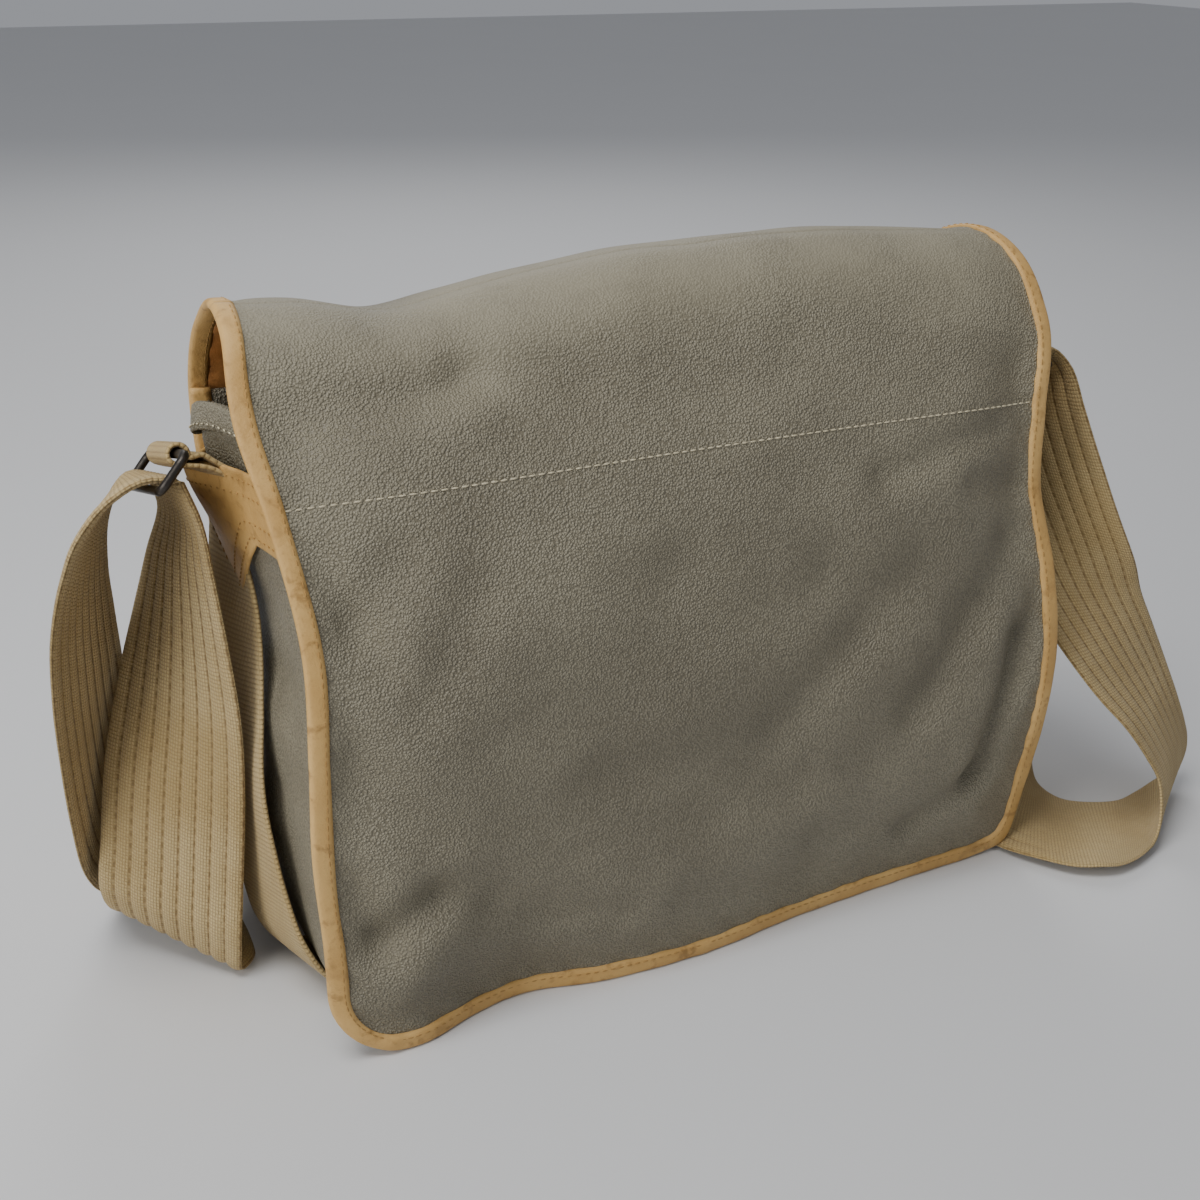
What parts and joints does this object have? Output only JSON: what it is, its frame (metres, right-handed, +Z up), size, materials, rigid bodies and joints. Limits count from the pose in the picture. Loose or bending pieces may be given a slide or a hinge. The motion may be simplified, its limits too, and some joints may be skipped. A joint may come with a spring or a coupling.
{
  "type": "messenger bag",
  "caption": "Soft leather messenger bag with a full flap, bound edges, recessed sides and a wide ribbed webbing shoulder strap on wire rings, standing on its base.",
  "frame": {"origin": "middle of the flat underside of the support webbing, on the surface the bag stands on", "axes": "+X along the width, -Y towards the plain back panel, +Y towards the side the flap closes, +Z up"},
  "size_m": [0.6312, 0.2428, 0.3341],
  "materials": {
    "grain_leather": "soft pebble grain, satin",
    "tan_leather": "smooth vegetable-tanned, satin",
    "flap_lining": "smooth tan split, matt",
    "lining_cloth": "plain cotton twill, matt",
    "webbing": "heavy khaki cotton webbing, matt",
    "dark_metal": "antique dark plating, worn",
    "board": "plain"
  },
  "bodies": {
    "bag": {"back_panel": "grain_leather", "back_binding": "tan_leather", "front_panel": "grain_leather", "front_binding": "tan_leather", "gusset_left": "grain_leather", "gusset_right": "grain_leather", "base_panel": "grain_leather", "base_board": "board", "lining": "lining_cloth", "inner_pocket": "lining_cloth", "support_webbing": "webbing", "side_patch_left": "tan_leather", "side_patch_right": "tan_leather", "snap_sockets": "dark_metal"},
    "flap_top": {"flap_top": "grain_leather", "flap_lining_top": "flap_lining", "flap_binding_top": "tan_leather"},
    "flap_front": {"flap_front": "grain_leather", "flap_lining_front": "flap_lining", "flap_binding_front": "tan_leather", "snap_studs": "dark_metal"},
    "strap": {"shoulder_strap": "webbing", "strap_tail": "webbing", "strap_slide": "dark_metal", "ring_left": "dark_metal", "ring_right": "dark_metal", "ring_loop_left": "webbing", "ring_loop_right": "webbing"}
  },
  "joints": [
    {"name": "flap_lift", "type": "hinge", "parent": "bag", "child": "flap_top", "pos_m": [0, -0.0265, 0.3015], "axis": [1, 0, 0], "range_deg": [0, 165]},
    {"name": "flap_drop", "type": "hinge", "parent": "flap_top", "child": "flap_front", "pos_m": [0, 0.076, 0.306], "axis": [1, 0, 0], "range_deg": [0, 195]},
    {"name": "strap_lift", "type": "hinge", "parent": "bag", "child": "strap", "pos_m": [0, 0.03, 0.26], "axis": [1, 0, 0], "range_deg": [0, 165]}
  ],
  "couplings": [
    {"joint": "flap_drop", "follows": "flap_lift", "ratio": 1.18}
  ]
}
